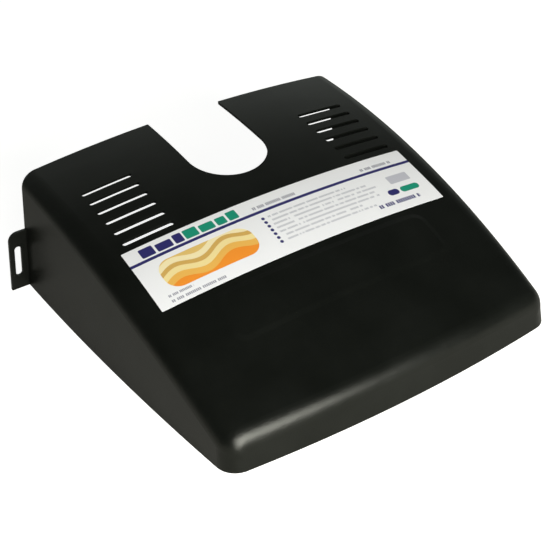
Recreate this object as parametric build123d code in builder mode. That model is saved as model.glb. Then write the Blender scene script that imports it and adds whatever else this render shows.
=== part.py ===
"""Drain gully cover: a one-piece moulded hood that stands over a gully at the foot of a wall.

The open back stands against the wall and the open underside sits on the ground. The top is
crowned across and bowed from front to back, and the sides and the front lean in for the mould.
The shoulders along both sides grow wider towards the front, where one round edge runs up the
front corners and across the nose. A round-ended notch in the back edge lets a downpipe through,
two blocks of slots let an overflow out, two slotted tabs fix the cover to the wall, and a paper
label is stuck on top.

X runs along the wall, Y towards it and Z up from the ground, all in millimetres. The origin is
on the ground, under the middle of the cover.
"""
import os
from math import radians, tan

from build123d import *

# Hood, measured over its outside
width_at_wall = 340.0
width_at_front = 306.0
side_depth = 313.5            # from the front corners to the wall
side_bow = 4.2                # how far each side swells past a straight line
front_bow = 9.0
height_at_wall = 115.0        # at the middle of the back edge
height_at_front = 33.0        # over the line between the front corners
top_bow = 17.0                # how far the top swells above a straight slope
crown_at_wall = 10.7          # how far the top falls from its middle to its sides
crown_at_front = 8.6
draft_angle = 6.2
shoulder_at_wall = 15.5
shoulder_at_front = 20.0
front_edge_radius = 18.0
wall = 2.5

# Notch for the downpipe
notch_width = 72.0
notch_straight = 71.6         # length of its straight sides, from the wall
notch_corner_radius = 1.0     # where they meet the back edge

# Overflow slots, in one block each side of the notch
slot_rows = 6
slot_width = 5.0
slot_length = 46.5
slot_pitch = 14.0
slot_spread = 215.0           # between the middles of the two blocks
slot_setback = 59.0           # from the wall to the middle of the last row

# Fixing tabs at the back corners
tab_width = 16.0
tab_height = 55.0
tab_thickness = 3.0
tab_top_radius = 9.0
tab_foot_radius = 2.0
tab_slot_width = 6.4
tab_slot_length = 29.0
tab_slot_height = 27.0        # from the ground to the slot's middle
tab_slot_margin = 4.4         # between the slot and the tab's outer edge

# Raised panel in front of the label
panel_width = 209.0
panel_length = 49.0
panel_setback = 58.6          # from the front corners to the panel's near edge
panel_height = 0.6
panel_radius = 13.0
panel_bevel_width = 6.5
panel_bevel_drop = 0.85       # more than the height, so the bevel runs out on the hood

# Label
label_width = 271.0
label_length = 63.4
label_setback = 111.8         # from the front corners to the label's near edge
label_offset = -1.6           # off the middle of the cover
label_thickness = 0.15
label_radius = 0.8

# Derived places
draft_slope = tan(radians(draft_angle))
wall_y = (side_depth + front_bow) / 2
corner_y = wall_y - side_depth
front_y = corner_y - front_bow
ceiling = height_at_wall + top_bow
skirt = height_at_front + wall    # how far the rough form reaches below the ground
stations = (-0.1, 0.5, 1.1)       # of its sections, as shares of the depth, 0 at the front corners


def along(at_front, at_wall, bow, t):
    """A size that runs from its front value to its wall value, swollen by bow half way."""
    return at_front + (at_wall - at_front) * t + 4 * bow * t * (1 - t)


def hood_form(inset=0.0):
    """The hood as a solid block, with its top, front and sides drawn in by inset."""
    wide = width_at_wall
    with BuildPart() as form:
        for t in stations:
            half = along(width_at_front / 2, width_at_wall / 2, side_bow, t)
            crest = along(height_at_front, height_at_wall, top_bow, t)
            fall = along(crown_at_front, crown_at_wall, 0, t) * (2 * wide / width_at_wall) ** 2
            with BuildSketch(Plane.XZ.offset(-(corner_y + side_depth * t))) as section:
                with BuildLine():
                    low = half + skirt * draft_slope
                    high = half - ceiling * draft_slope
                    Polyline((-low, -skirt), (low, -skirt), (high, ceiling), (-high, ceiling), close=True)
                make_face()
                with BuildLine():
                    ThreePointArc((-wide, crest - fall), (0, crest), (wide, crest - fall))
                    Polyline((wide, crest - fall), (wide, -wide), (-wide, -wide), (-wide, crest - fall))
                make_face(mode=Mode.INTERSECT)
                shoulders = section.vertices().group_by(Axis.Y)[-1]
                fillet(shoulders, along(shoulder_at_front, shoulder_at_wall, 0, t))
                if inset:
                    offset(amount=-inset, kind=Kind.INTERSECTION)
        loft()

        # The front is drawn on the ground, so its sketch grows by what the skirt leans out
        with BuildSketch(Plane.XY.offset(-skirt)):
            with BuildLine():
                wide_y = front_y + front_bow * (2 * wide / width_at_front) ** 2
                ThreePointArc((-wide, wide_y), (0, front_y), (wide, wide_y))
                Polyline((wide, wide_y), (wide, 2 * wide), (-wide, 2 * wide), (-wide, wide_y))
            make_face()
            offset(amount=skirt * draft_slope - inset, kind=Kind.INTERSECTION)
        extrude(amount=skirt + ceiling, taper=draft_angle, mode=Mode.INTERSECT)
        front = form.faces().sort_by(Axis.Y)[0]
        foot = front.edges().sort_by(Axis.Z)[0]
        fillet(front.edges() - [foot], front_edge_radius - inset)
    return form.part


def on_ground(centre_x, near_edge, length):
    """Plane on the ground under the middle of something that lies on the top."""
    return Plane((centre_x, corner_y + near_edge + length / 2, 0))


# The raised panel reaches down into the hollow, and the hood's inner form cuts it off below
with BuildPart() as panel:
    with BuildSketch(on_ground(0, panel_setback, panel_length)):
        RectangleRounded(panel_width, panel_length, panel_radius)
    extrude(amount=ceiling)
    add(hood_form(-panel_height), mode=Mode.INTERSECT)
    panel_top = panel.faces().sort_by(Axis.Z)[-1]
    chamfer(panel_top.edges(), panel_bevel_width, panel_bevel_drop, reference=panel_top)

# Each tab follows the side's lean, and its inner edge is buried in the side
with BuildPart() as tabs:
    with BuildSketch(Plane.XZ.offset(-wall_y)):
        with BuildLine():
            side_foot = width_at_wall / 2
            lean = tab_height * draft_slope
            outer_foot = (side_foot + tab_width, 0)
            outer_top = (side_foot + tab_width - lean, tab_height)
            Polyline(
                (side_foot - wall / 2, 0),
                outer_foot,
                outer_top,
                (side_foot - wall / 2 - lean, tab_height),
                close=True,
            )
        outline = make_face()
        fillet(outline.vertices().sort_by_distance(outer_top)[0], tab_top_radius)
        fillet(outline.vertices().sort_by_distance(outer_foot)[0], tab_foot_radius)
        slot_foot = side_foot + tab_width - tab_slot_margin - tab_slot_width / 2
        with Locations((slot_foot - tab_slot_height * draft_slope, tab_slot_height)):
            SlotOverall(tab_slot_length, tab_slot_width, rotation=90 + draft_angle, mode=Mode.SUBTRACT)
    extrude(amount=tab_thickness)
    mirror(about=Plane.YZ)

with BuildPart() as cover:
    add(hood_form())
    add(panel.part)
    add(hood_form(wall), mode=Mode.SUBTRACT)
    split(bisect_by=Plane.XZ.offset(-wall_y), keep=Keep.TOP)
    split(bisect_by=Plane.XY, keep=Keep.TOP)
    add(tabs.part)

    # Overflow slots
    block_y = wall_y - slot_setback - slot_pitch * (slot_rows - 1) / 2
    with BuildSketch(Plane((0, block_y, ceiling))):
        with GridLocations(slot_spread, slot_pitch, 2, slot_rows):
            SlotOverall(slot_length, slot_width)
    extrude(amount=-ceiling, mode=Mode.SUBTRACT)

    # Downpipe notch
    with BuildSketch(Plane((0, wall_y, ceiling))):
        Rectangle(notch_width, 2 * notch_straight)
        with Locations((0, -notch_straight)):
            Circle(notch_width / 2)
    extrude(amount=-ceiling, mode=Mode.SUBTRACT)
    mouth = cover.edges().filter_by(Axis.Z).filter_by_position(Axis.X, -notch_width, notch_width)
    fillet(mouth.filter_by_position(Axis.Y, wall_y - 1, wall_y + 1), notch_corner_radius)

with BuildPart() as label:
    with BuildSketch(on_ground(label_offset, label_setback, label_length)):
        RectangleRounded(label_width, label_length, label_radius)
    extrude(amount=ceiling)
    add(hood_form(-label_thickness), mode=Mode.INTERSECT)
    add(hood_form(), mode=Mode.SUBTRACT)

cover.part.label = "cover"
label.part.label = "label"
os.makedirs("parts", exist_ok=True)
for piece in (cover, label):
    export_step(piece.part, f"parts/{piece.part.label}.step")
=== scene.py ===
import math

import bmesh
import bpy
from mathutils import Matrix, Vector

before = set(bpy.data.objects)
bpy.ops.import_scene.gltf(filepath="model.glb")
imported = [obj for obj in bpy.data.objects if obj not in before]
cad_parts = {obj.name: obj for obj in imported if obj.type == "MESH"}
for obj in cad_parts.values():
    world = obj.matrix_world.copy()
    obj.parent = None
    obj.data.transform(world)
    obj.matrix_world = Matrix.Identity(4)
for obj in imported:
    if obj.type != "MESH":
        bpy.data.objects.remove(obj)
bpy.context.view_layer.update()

# Moulded hood, with its tabs and raised panel: one injection moulding in black polypropylene.
# The mould leaves a fine spark-eroded grain on the outside, and the satin varies slightly where
# the plastic cooled unevenly.


def feed(socket, value):
    """Link an input to another node's output, or set its value."""
    if isinstance(value, bpy.types.NodeSocket):
        socket.id_data.links.new(value, socket)
    else:
        socket.default_value = value


def feed_named(node, **inputs):
    """Feed a node's inputs by their names, in which _ stands for a space."""
    for name, value in inputs.items():
        feed(node.inputs[name.replace("_", " ")], value)


def new_node(tree, kind, **inputs):
    node = tree.nodes.new(kind)
    feed_named(node, **inputs)
    return node


def new_group(name, inputs, outputs):
    """A node group, the sockets that hand in what it is given, and those that it gives out by.

    The inputs are names with their defaults, where None makes a vector, and the outputs are names.
    """
    group = bpy.data.node_groups.new(name, "ShaderNodeTree")
    for socket, default in inputs.items():
        kind = "NodeSocketVector" if default is None else "NodeSocketFloat"
        made = group.interface.new_socket(socket, in_out="INPUT", socket_type=kind)
        if default is not None:
            made.default_value = default
    for socket in outputs:
        group.interface.new_socket(socket, in_out="OUTPUT", socket_type="NodeSocketFloat")
    given = group.nodes.new("NodeGroupInput").outputs
    wanted = group.nodes.new("NodeGroupOutput").inputs
    return group, given, wanted


def new_material(name):
    material = bpy.data.materials.new(name)
    material.use_nodes = True
    return material


def dress(piece, material):
    """Give a piece one material in place of all it had."""
    piece.data.materials.clear()
    piece.data.materials.append(material)


# Grain: the height of the mould's fine texture, and the slow clouding of the satin
grain, given, wanted = new_group(
    "mould_grain", {"Vector": None, "Grain Scale": 1000.0, "Cloud Scale": 22.0}, ["Height", "Clouds"],
)
pits = new_node(
    grain, "ShaderNodeTexNoise",
    Vector=given["Vector"], Scale=given["Grain Scale"], Detail=3.0, Roughness=0.62,
)
clouds = new_node(
    grain, "ShaderNodeTexNoise",
    Vector=given["Vector"], Scale=given["Cloud Scale"], Detail=4.0, Roughness=0.55,
)
feed(wanted["Height"], pits.outputs["Fac"])
feed(wanted["Clouds"], clouds.outputs["Fac"])

hood_plastic = new_material("black_polypropylene")
tree = hood_plastic.node_tree
place = new_node(tree, "ShaderNodeTexCoord")
surface = tree.nodes.new("ShaderNodeGroup")
surface.node_tree = grain
feed_named(surface, Vector=place.outputs["Object"])
tint = new_node(tree, "ShaderNodeValToRGB", Fac=surface.outputs["Clouds"])
darkest, palest = tint.color_ramp.elements
darkest.position, darkest.color = 0.35, (0.0027, 0.0033, 0.0025, 1)
palest.position, palest.color = 0.70, (0.0041, 0.0048, 0.0038, 1)
satin = new_node(
    tree, "ShaderNodeMapRange",
    Value=surface.outputs["Clouds"], From_Min=0.3, From_Max=0.7, To_Min=0.30, To_Max=0.35,
)
bump = new_node(
    tree, "ShaderNodeBump", Height=surface.outputs["Height"], Strength=0.8, Distance=0.00012,
)
feed_named(
    tree.nodes["Principled BSDF"],
    Base_Color=tint.outputs["Color"],
    Roughness=satin.outputs["Result"],
    IOR=1.39,
    Specular_Tint=(1.0, 1.0, 0.88, 1),
    Normal=bump.outputs["Normal"],
)
dress(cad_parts["cover"], hood_plastic)

# Label: coated white paper, printed in flat inks and stuck to the top by its adhesive back. The
# print is a navy rule, blocks of navy and green, a field of warm waves, and rows of fine grey type
# as ragged bars. Places and sizes on it are in metres, from the middle of the hood.


def calc(operation, *values):
    """The result of a Math node, made in the tree that the sockets among the values are in."""
    tree = next(value.id_data for value in values if isinstance(value, bpy.types.NodeSocket))
    node = tree.nodes.new("ShaderNodeMath")
    node.operation = operation
    for socket, value in zip(node.inputs, values):
        feed(socket, value)
    return node.outputs["Value"]


def step(value, edge, soft):
    """1 below the edge and 0 above it, fading over the soft width on each side of it."""
    node = new_node(
        value.id_data, "ShaderNodeMapRange",
        Value=value, From_Min=edge - soft, From_Max=edge + soft, To_Min=1.0, To_Max=0.0,
    )
    return node.outputs["Result"]


# Block: a rectangle with round corners, by its middle and half sizes
ink_blur = 0.00008
block, given, wanted = new_group(
    "printed_block",
    {
        "X": 0.0, "Y": 0.0, "Middle X": 0.0, "Middle Y": 0.0,
        "Half X": 0.01, "Half Y": 0.01, "Corner": 0.001,
    },
    ["Mask"],
)
over = []
for axis in "XY":
    away = calc("ABSOLUTE", calc("SUBTRACT", given[axis], given[f"Middle {axis}"]))
    beyond = calc("SUBTRACT", away, given[f"Half {axis}"])
    over.append(calc("MAXIMUM", calc("ADD", beyond, given["Corner"]), 0.0))
over_x, over_y = over
reach = calc("SQRT", calc("MULTIPLY_ADD", over_x, over_x, calc("MULTIPLY", over_y, over_y)))
feed(wanted["Mask"], step(calc("SUBTRACT", reach, given["Corner"]), 0.0, ink_blur))

# Type: rows of small bars, with gaps between words and a ragged right edge
shortest_row = 0.7            # as a share of the length that the rows are given
bar_width = 0.74              # as a share of the letter pitch
gap_chance = 0.17
ragged_start = 3.5            # where in the noise the first row's length is drawn
rows, given, wanted = new_group(
    "printed_rows",
    {
        "X": 0.0, "Y": 0.0, "Left": 0.0, "Top": 0.0, "Length": 0.05,
        "Rows": 1.0, "Row Pitch": 0.0045, "Letter Pitch": 0.0011, "Height": 0.5,
    },
    ["Mask"],
)
across = calc("SUBTRACT", given["X"], given["Left"])
down = calc("DIVIDE", calc("SUBTRACT", given["Top"], given["Y"]), given["Row Pitch"])
row = calc("FLOOR", down)
column = calc("DIVIDE", across, given["Letter Pitch"])
cell = new_node(rows, "ShaderNodeCombineXYZ", X=calc("FLOOR", column), Y=row)
chance = rows.nodes.new("ShaderNodeTexWhiteNoise")
chance.noise_dimensions = "2D"
feed_named(chance, Vector=cell.outputs["Vector"])
ragged = rows.nodes.new("ShaderNodeTexWhiteNoise")
ragged.noise_dimensions = "1D"
feed_named(ragged, W=calc("ADD", row, ragged_start))
row_share = calc("MULTIPLY_ADD", ragged.outputs["Value"], 1 - shortest_row, shortest_row)
mask = calc("LESS_THAN", across, calc("MULTIPLY", given["Length"], row_share))
for test in (
    calc("GREATER_THAN", across, 0.0),
    calc("GREATER_THAN", down, 0.0),
    calc("LESS_THAN", down, given["Rows"]),
    calc("LESS_THAN", calc("FRACT", column), bar_width),
    calc("LESS_THAN", calc("FRACT", down), given["Height"]),
    calc("GREATER_THAN", chance.outputs["Value"], gap_chance),
):
    mask = calc("MULTIPLY", mask, test)
feed(wanted["Mask"], mask)

label_paper = new_material("printed_paper")
tree = label_paper.node_tree
place = new_node(tree, "ShaderNodeTexCoord")
split = new_node(tree, "ShaderNodeSeparateXYZ", Vector=place.outputs["Object"])
at_x, at_y = split.outputs["X"], split.outputs["Y"]


def printed(group, **inputs):
    """The mask that a group of print gives on the label, 1 where its ink is."""
    node = label_paper.node_tree.nodes.new("ShaderNodeGroup")
    node.node_tree = group
    feed_named(node, X=at_x, Y=at_y, **inputs)
    return node.outputs["Mask"]


def mix(under, top, mask):
    """One colour, and another over it where the mask is 1."""
    node = mask.id_data.nodes.new("ShaderNodeMix")
    node.data_type = "RGBA"
    sockets = {socket.identifier: socket for socket in [*node.inputs, *node.outputs]}
    feed(sockets["Factor_Float"], mask)
    feed(sockets["A_Color"], under)
    feed(sockets["B_Color"], top)
    return sockets["Result_Color"]


fibre = new_node(
    tree, "ShaderNodeTexNoise", Vector=place.outputs["Object"], Scale=900.0, Detail=3.0,
)
swell = new_node(
    tree, "ShaderNodeTexNoise", Vector=place.outputs["Object"], Scale=26.0, Detail=1.0,
)
paper = mix((0.805, 0.805, 0.785, 1), (0.85, 0.85, 0.83, 1), swell.outputs["Fac"])

# Field of waves: bands of warm colour that rise and fall along the label
wave_rate = 130.0             # radians to the metre
wave_height = 0.0035
wave_lean = -0.10
lowest_band = -0.022
highest_band = 0.012
band_shades = (
    # where a band starts, as a share of the way up from the lowest, and its colour
    (0.0, (0.84, 0.27, 0.02, 1)),
    (0.24, (0.80, 0.44, 0.08, 1)),
    (0.42, (0.86, 0.70, 0.30, 1)),
    (0.58, (0.62, 0.38, 0.09, 1)),
    (0.70, (0.88, 0.76, 0.42, 1)),
    (0.86, (0.74, 0.50, 0.14, 1)),
)
wave = calc("MULTIPLY", calc("SINE", calc("MULTIPLY", at_x, wave_rate)), wave_height)
level = calc("ADD", at_y, calc("MULTIPLY_ADD", at_x, wave_lean, wave))
level_share = new_node(
    tree, "ShaderNodeMapRange", Value=level, From_Min=lowest_band, From_Max=highest_band,
)
bands = new_node(tree, "ShaderNodeValToRGB", Fac=level_share.outputs["Result"])
bands.color_ramp.interpolation = "CONSTANT"
while len(bands.color_ramp.elements) < len(band_shades):
    bands.color_ramp.elements.new(1.0)
for element, (start, shade) in zip(bands.color_ramp.elements, band_shades):
    element.position = start
    element.color = shade
wave_field = printed(
    block, Middle_X=-0.0790, Middle_Y=-0.0135, Half_X=0.0420, Half_Y=0.0145, Corner=0.012,
)
colour = mix(paper, bands.outputs["Color"], wave_field)

# Rules and blocks of solid ink, and a dot before each row of the main type
navy = (0.020, 0.018, 0.125, 1)
green = (0.004, 0.262, 0.155, 1)
grey = (0.30, 0.30, 0.33, 1)
mid_grey = (0.48, 0.48, 0.50, 1)
pale_grey = (0.50, 0.50, 0.53, 1)
main_rows = 7
main_pitch = 0.0045
dot_radius = 0.0015
dot_x = -0.0208
first_dot_y = -0.0005
blocks = [
    # ink, middle x and y, half x and y, corner radius
    (navy, 0.0000, 0.0071, 0.2000, 0.0014, 0.0001),
    (navy, -0.1185, 0.0148, 0.0060, 0.0048, 0.0012),
    (navy, -0.1035, 0.0140, 0.0070, 0.0040, 0.0012),
    (navy, -0.0905, 0.0148, 0.0040, 0.0048, 0.0012),
    (green, -0.0790, 0.0148, 0.0060, 0.0048, 0.0012),
    (green, -0.0645, 0.0140, 0.0065, 0.0040, 0.0012),
    (green, -0.0515, 0.0140, 0.0045, 0.0040, 0.0012),
    (green, -0.0405, 0.0148, 0.0045, 0.0048, 0.0012),
    (green, 0.1135, -0.0205, 0.0095, 0.0031, 0.0031),
    (navy, 0.0965, -0.0205, 0.0055, 0.0031, 0.0031),
    (pale_grey, 0.1110, -0.0075, 0.0105, 0.0045, 0.0010),
]
for i in range(main_rows):
    blocks.append((navy, dot_x, first_dot_y - main_pitch * i, dot_radius, dot_radius, dot_radius))
for ink, x, y, half_x, half_y, corner in blocks:
    mask = printed(block, Middle_X=x, Middle_Y=y, Half_X=half_x, Half_Y=half_y, Corner=corner)
    colour = mix(colour, ink, mask)

# Rows of type, where the bars' height is a share of the row pitch
for ink, left, top, length, count, row_pitch, letter_pitch, bar_height in (
    (grey, -0.0225, 0.0140, 0.058, 1, 0.0030, 0.0016, 1.0),
    (grey, 0.0860, 0.0140, 0.044, 1, 0.0030, 0.0016, 1.0),
    (mid_grey, -0.0160, 0.0006, 0.106, main_rows, main_pitch, 0.0014, 0.42),
    (grey, -0.1260, -0.0300, 0.030, 1, 0.0022, 0.0012, 1.0),
    (grey, -0.1260, -0.0350, 0.066, 1, 0.0024, 0.0015, 1.0),
    (navy, 0.0740, -0.0290, 0.058, 1, 0.0038, 0.0022, 1.0),
):
    mask = printed(
        rows, Left=left, Top=top, Length=length, Rows=count, Row_Pitch=row_pitch,
        Letter_Pitch=letter_pitch, Height=bar_height,
    )
    colour = mix(colour, ink, mask)

sheen = new_node(
    tree, "ShaderNodeMapRange", Value=fibre.outputs["Fac"], To_Min=0.50, To_Max=0.62,
)
tooth = new_node(
    tree, "ShaderNodeBump", Height=fibre.outputs["Fac"], Strength=0.3, Distance=0.00003,
)
ripples = new_node(
    tree, "ShaderNodeBump",
    Height=swell.outputs["Fac"], Normal=tooth.outputs["Normal"], Strength=0.25, Distance=0.001,
)
feed_named(
    tree.nodes["Principled BSDF"],
    Base_Color=colour,
    Roughness=sheen.outputs["Result"],
    Normal=ripples.outputs["Normal"],
)
dress(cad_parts["label"], label_paper)

# Floor: a plain pale sheet, which keeps the hood's shadow. It glows for the camera alone, so that
# the picture shows it as near white and the hood gets no more light.


def new_object(name, data):
    made = bpy.data.objects.new(name, data)
    bpy.context.scene.collection.objects.link(made)
    return made


sheet = bmesh.new()
bmesh.ops.create_grid(sheet, x_segments=1, y_segments=1, size=6.0)
mesh = bpy.data.meshes.new("floor")
sheet.to_mesh(mesh)
sheet.free()
floor = new_object("floor", mesh)
pale = new_material("pale_floor")
tree = pale.node_tree
tree.nodes.clear()
floor_glow = 0.90
rays = new_node(tree, "ShaderNodeLightPath")
lift = new_node(
    tree, "ShaderNodeEmission", Strength=calc("MULTIPLY", rays.outputs["Is Camera Ray"], floor_glow),
)
matt = new_node(tree, "ShaderNodeBsdfDiffuse", Color=(0.67, 0.66, 0.60, 1))
both = new_node(tree, "ShaderNodeAddShader")
feed(both.inputs[0], matt.outputs["BSDF"])
feed(both.inputs[1], lift.outputs["Emission"])
new_node(tree, "ShaderNodeOutputMaterial", Surface=both.outputs["Shader"])
floor.data.materials.append(pale)

# World: a dim studio that is paler low down behind the hood's right, and white to the camera.
# Each place in it is a direction, whose x, y and z run from -1 to 1.
world = bpy.data.worlds.new("studio")
bpy.context.scene.world = world
world.use_nodes = True
tree = world.node_tree
tree.nodes.clear()
place = new_node(tree, "ShaderNodeTexCoord")
split = new_node(tree, "ShaderNodeSeparateXYZ", Vector=place.outputs["Generated"])
glow_x = 0.35                 # the way from the hood to the middle of the paler part
glow_y = 0.94
dim_strength = 0.07
glow_strength = 0.52
low = step(split.outputs["Z"], edge=0.60, soft=0.30)
aside = calc("MULTIPLY_ADD", split.outputs["X"], glow_x, calc("MULTIPLY", split.outputs["Y"], glow_y))
behind = calc("SUBTRACT", 1.0, step(aside, edge=0.73, soft=0.14))
glow = calc("MULTIPLY", low, behind)
dim = new_node(
    tree, "ShaderNodeBackground",
    Color=(0.93, 1.0, 0.95, 1), Strength=calc("MULTIPLY_ADD", glow, glow_strength, dim_strength),
)
white = new_node(tree, "ShaderNodeBackground", Color=(1.0, 1.0, 1.0, 1), Strength=1.0)
rays = new_node(tree, "ShaderNodeLightPath")
choose = new_node(tree, "ShaderNodeMixShader", Fac=rays.outputs["Is Camera Ray"])
feed(choose.inputs[1], dim.outputs["Background"])
feed(choose.inputs[2], white.outputs["Background"])
new_node(tree, "ShaderNodeOutputWorld", Surface=choose.outputs["Shader"])

# Softbox: one broad light in front of the hood and a little above the ground, rolled so that its
# reflection follows the round of the front edge.
softbox = bpy.data.lights.new("softbox", "AREA")
softbox.shape = "RECTANGLE"
softbox.size = 1.0
softbox.size_y = 0.61
softbox.energy = 29.5
lamp = new_object("softbox", softbox)
lamp.location = (-0.20, -1.15, 0.39)
lit_place = Vector((0, -0.05, 0.05))
lamp_roll = Matrix.Rotation(math.radians(16), 3, "Z")
facing = (lamp.location - lit_place).to_track_quat("Z", "Y").to_matrix()
lamp.rotation_euler = (facing @ lamp_roll).to_euler()

# Camera: where the photographer stood, with a short telephoto lens, tilted by a few degrees.
camera_data = bpy.data.cameras.new("camera")
camera_data.sensor_width = 36.0
camera_data.lens = 77.181
camera_data.shift_x = 0.00409
camera_data.shift_y = -0.05547
camera = new_object("camera", camera_data)
eye = Vector((-0.43627, -0.69014, 0.58889))
aim = Vector((-0.00737, 0.00866, 0.05500))
camera_roll = Matrix.Rotation(math.radians(-3.268), 3, "Z")
turn = (aim - eye).to_track_quat("-Z", "Y").to_matrix() @ camera_roll
camera.matrix_world = Matrix.Translation(eye) @ turn.to_4x4()
bpy.context.scene.camera = camera
bpy.context.scene.view_settings.view_transform = "Standard"
